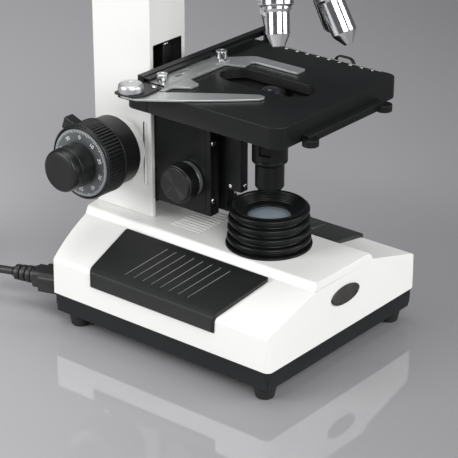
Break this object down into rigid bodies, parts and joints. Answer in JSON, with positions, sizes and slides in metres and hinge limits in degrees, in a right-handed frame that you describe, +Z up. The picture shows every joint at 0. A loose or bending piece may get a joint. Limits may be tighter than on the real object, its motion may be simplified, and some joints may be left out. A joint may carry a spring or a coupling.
{
  "type": "microscope",
  "caption": "Compound microscope: binocular head, revolving nosepiece, mechanical stage with a slide holder, condenser, coaxial focus knobs, and a lit base with palm rests and a mains lead.",
  "frame": {"origin": "under the middle of the instrument, on the plane its feet stand on", "axes": "+Z up; -Y is the user's side, where the badge and the eyepieces face; the limb stands at +Y; +X is the user's right"},
  "size_m": [0.2225, 0.4638, 0.4185],
  "materials": {
    "white_enamel": "satin",
    "black_enamel": "satin",
    "tray_grey": "matt",
    "rest_rubber": "matt",
    "foot_rubber": "matt",
    "lead_rubber": "satin",
    "knob_black": "satin",
    "dial_grey": "matt",
    "bright_steel": "bright",
    "satin_alloy": "satin",
    "objective_chrome": "polished",
    "lens_glass": "clear",
    "badge_black": "gloss",
    "rocker_red": "gloss",
    "fitting_black": "matt",
    "circuit": "matt"
  },
  "bodies": {
    "base": {"base_cover": "white_enamel", "bottom_tray": "tray_grey", "feet": "foot_rubber", "base_screws": "bright_steel", "palm_rest_left": "rest_rubber", "palm_rest_right": "rest_rubber", "badge": "badge_black", "collector_housing": "black_enamel", "field_lens": "lens_glass", "lamp": "lens_glass", "power_supply": "circuit", "power_inlet": "fitting_black", "switch_bezel": "fitting_black", "arm": "white_enamel", "nosepiece_base": "black_enamel", "cord_connector": "lead_rubber", "cord": "lead_rubber", "cord_coil": "lead_rubber", "cord_plug": "lead_rubber"},
    "guide": {"guide_block": "bright_steel"},
    "carriage": {"carriage": "black_enamel", "gib_bars": "black_enamel", "carriage_screws": "bright_steel", "stage_lower_plate": "black_enamel", "y_vernier": "black_enamel"},
    "coarse": {"coarse_shaft": "bright_steel", "coarse_knobs": "knob_black"},
    "tension": {"tension_ring": "knob_black"},
    "fine": {"fine_shaft": "bright_steel", "fine_knobs": "knob_black", "fine_dial": "dial_grey"},
    "condenser": {"condenser_slide": "black_enamel", "condenser_body": "black_enamel", "condenser_lens": "lens_glass"},
    "condenser_drive": {"condenser_knob": "knob_black"},
    "condenser_clamp": {"condenser_screw": "satin_alloy"},
    "iris": {"iris_lever": "black_enamel"},
    "stage": {"stage_top": "black_enamel", "x_guide": "black_enamel", "front_rail": "black_enamel", "drive_bracket": "black_enamel"},
    "y_drive": {"y_knob": "knob_black"},
    "x_drive": {"x_knob": "knob_black"},
    "holder": {"x_slider": "satin_alloy", "holder_bracket": "satin_alloy", "holder_screws": "bright_steel", "pivot_plate": "fitting_black", "finger_cap": "satin_alloy"},
    "finger": {"spring_finger": "satin_alloy"},
    "turret": {"nosepiece_turret": "black_enamel", "objectives": "objective_chrome"},
    "head": {"head_body": "white_enamel"},
    "head_clamp": {"head_lock_screw": "satin_alloy"},
    "right_tube": {"tube_right": "white_enamel", "eyepiece_right": "black_enamel"},
    "left_tube": {"tube_left": "white_enamel", "eyepiece_left": "black_enamel"},
    "diopter": {"diopter_ring": "knob_black"},
    "dimmer": {"dimmer_knob": "knob_black"},
    "rocker": {"switch_rocker": "rocker_red"}
  },
  "joints": [
    {"name": "fine_lift", "type": "slide", "parent": "base", "child": "guide", "axis": [0, 0, 1], "range_m": [-0.0005, 0.0005]},
    {"name": "stage_lift", "type": "slide", "parent": "guide", "child": "carriage", "axis": [0, 0, 1], "range_m": [-0.001, 0.022]},
    {"name": "coarse_turn", "type": "hinge", "parent": "base", "child": "coarse", "pos_m": [0, 0.0908, 0.1308], "axis": [1, 0, 0], "range_deg": [-166, 9]},
    {"name": "fine_turn", "type": "hinge", "parent": "base", "child": "fine", "pos_m": [0, 0.0908, 0.1308], "axis": [1, 0, 0], "range_deg": [-901, 901]},
    {"name": "tension_turn", "type": "hinge", "parent": "base", "child": "tension", "pos_m": [0, 0.0908, 0.1308], "axis": [1, 0, 0], "range_deg": [-25, 25]},
    {"name": "condenser_lift", "type": "slide", "parent": "carriage", "child": "condenser", "axis": [0, 0, 1], "range_m": [-0.0015, 0.003]},
    {"name": "condenser_turn", "type": "hinge", "parent": "carriage", "child": "condenser_drive", "pos_m": [0, 0.0275, 0.118], "axis": [1, 0, 0], "range_deg": [-19, 10]},
    {"name": "condenser_clamp_turn", "type": "hinge", "parent": "condenser", "child": "condenser_clamp", "pos_m": [-0.02, -0.037, 0.177], "axis": [-1, 0, 0], "range_deg": [0, 360]},
    {"name": "iris_turn", "type": "hinge", "parent": "condenser", "child": "iris", "pos_m": [0, -0.037, 0.165], "axis": [0, 0, 1], "range_deg": [-45, 45]},
    {"name": "stage_y", "type": "slide", "parent": "carriage", "child": "stage", "axis": [0, 1, 0], "range_m": [-0.028, 0.015]},
    {"name": "y_knob_turn", "type": "hinge", "parent": "stage", "child": "y_drive", "pos_m": [0.081, 0.025, 0.167], "axis": [0, 0, 1], "range_deg": [-123, 230]},
    {"name": "stage_x", "type": "slide", "parent": "stage", "child": "holder", "axis": [1, 0, 0], "range_m": [-0.012, 0.036]},
    {"name": "x_knob_turn", "type": "hinge", "parent": "stage", "child": "x_drive", "pos_m": [0.081, 0.025, 0.15], "axis": [0, 0, 1], "range_deg": [-313, 105]},
    {"name": "finger_swing", "type": "hinge", "parent": "holder", "child": "finger", "pos_m": [-0.085, 0.023, 0.206], "axis": [0, 0, 1], "range_deg": [-40, 5], "stiffness_Nm_per_rad": 0.08},
    {"name": "nosepiece_turn", "type": "hinge", "parent": "base", "child": "turret", "pos_m": [0, -0.06018, 0.28121], "axis": [0, 0.2588, 0.9659], "continuous": true},
    {"name": "head_turn", "type": "hinge", "parent": "base", "child": "head", "pos_m": [0, -0.037, 0.33], "axis": [0, 0, 1], "continuous": true},
    {"name": "head_clamp_turn", "type": "hinge", "parent": "base", "child": "head_clamp", "pos_m": [0.03, -0.037, 0.323], "axis": [1, 0, 0], "range_deg": [0, 720]},
    {"name": "right_tube_swing", "type": "hinge", "parent": "head", "child": "right_tube", "pos_m": [0, -0.035, 0.372], "axis": [0, -0.866, 0.5], "range_deg": [-11, 26]},
    {"name": "left_tube_swing", "type": "hinge", "parent": "head", "child": "left_tube", "pos_m": [0, -0.035, 0.372], "axis": [0, -0.866, 0.5], "range_deg": [-26, 11]},
    {"name": "diopter_turn", "type": "hinge", "parent": "left_tube", "child": "diopter", "pos_m": [-0.03236, -0.09832, 0.39033], "axis": [0, -0.866, 0.5], "range_deg": [-150, 150]},
    {"name": "dimmer_turn", "type": "hinge", "parent": "base", "child": "dimmer", "pos_m": [0.081, -0.083, 0.042], "axis": [0, 0, 1], "range_deg": [0, 270]},
    {"name": "switch_tip", "type": "hinge", "parent": "base", "child": "rocker", "pos_m": [0.06689, 0.10853, 0.043], "axis": [0.9527, -0.304, 0], "range_deg": [-16, 0]}
  ],
  "couplings": [
    {"joint": "coarse_turn", "follows": "stage_lift", "rad_per_m": -130.9},
    {"joint": "fine_turn", "follows": "fine_lift", "rad_per_m": -31416},
    {"joint": "condenser_turn", "follows": "condenser_lift", "rad_per_m": -107.5},
    {"joint": "y_knob_turn", "follows": "stage_y", "rad_per_m": -142.9},
    {"joint": "x_knob_turn", "follows": "stage_x", "rad_per_m": -151.5},
    {"joint": "left_tube_swing", "follows": "right_tube_swing", "ratio": -1}
  ]
}
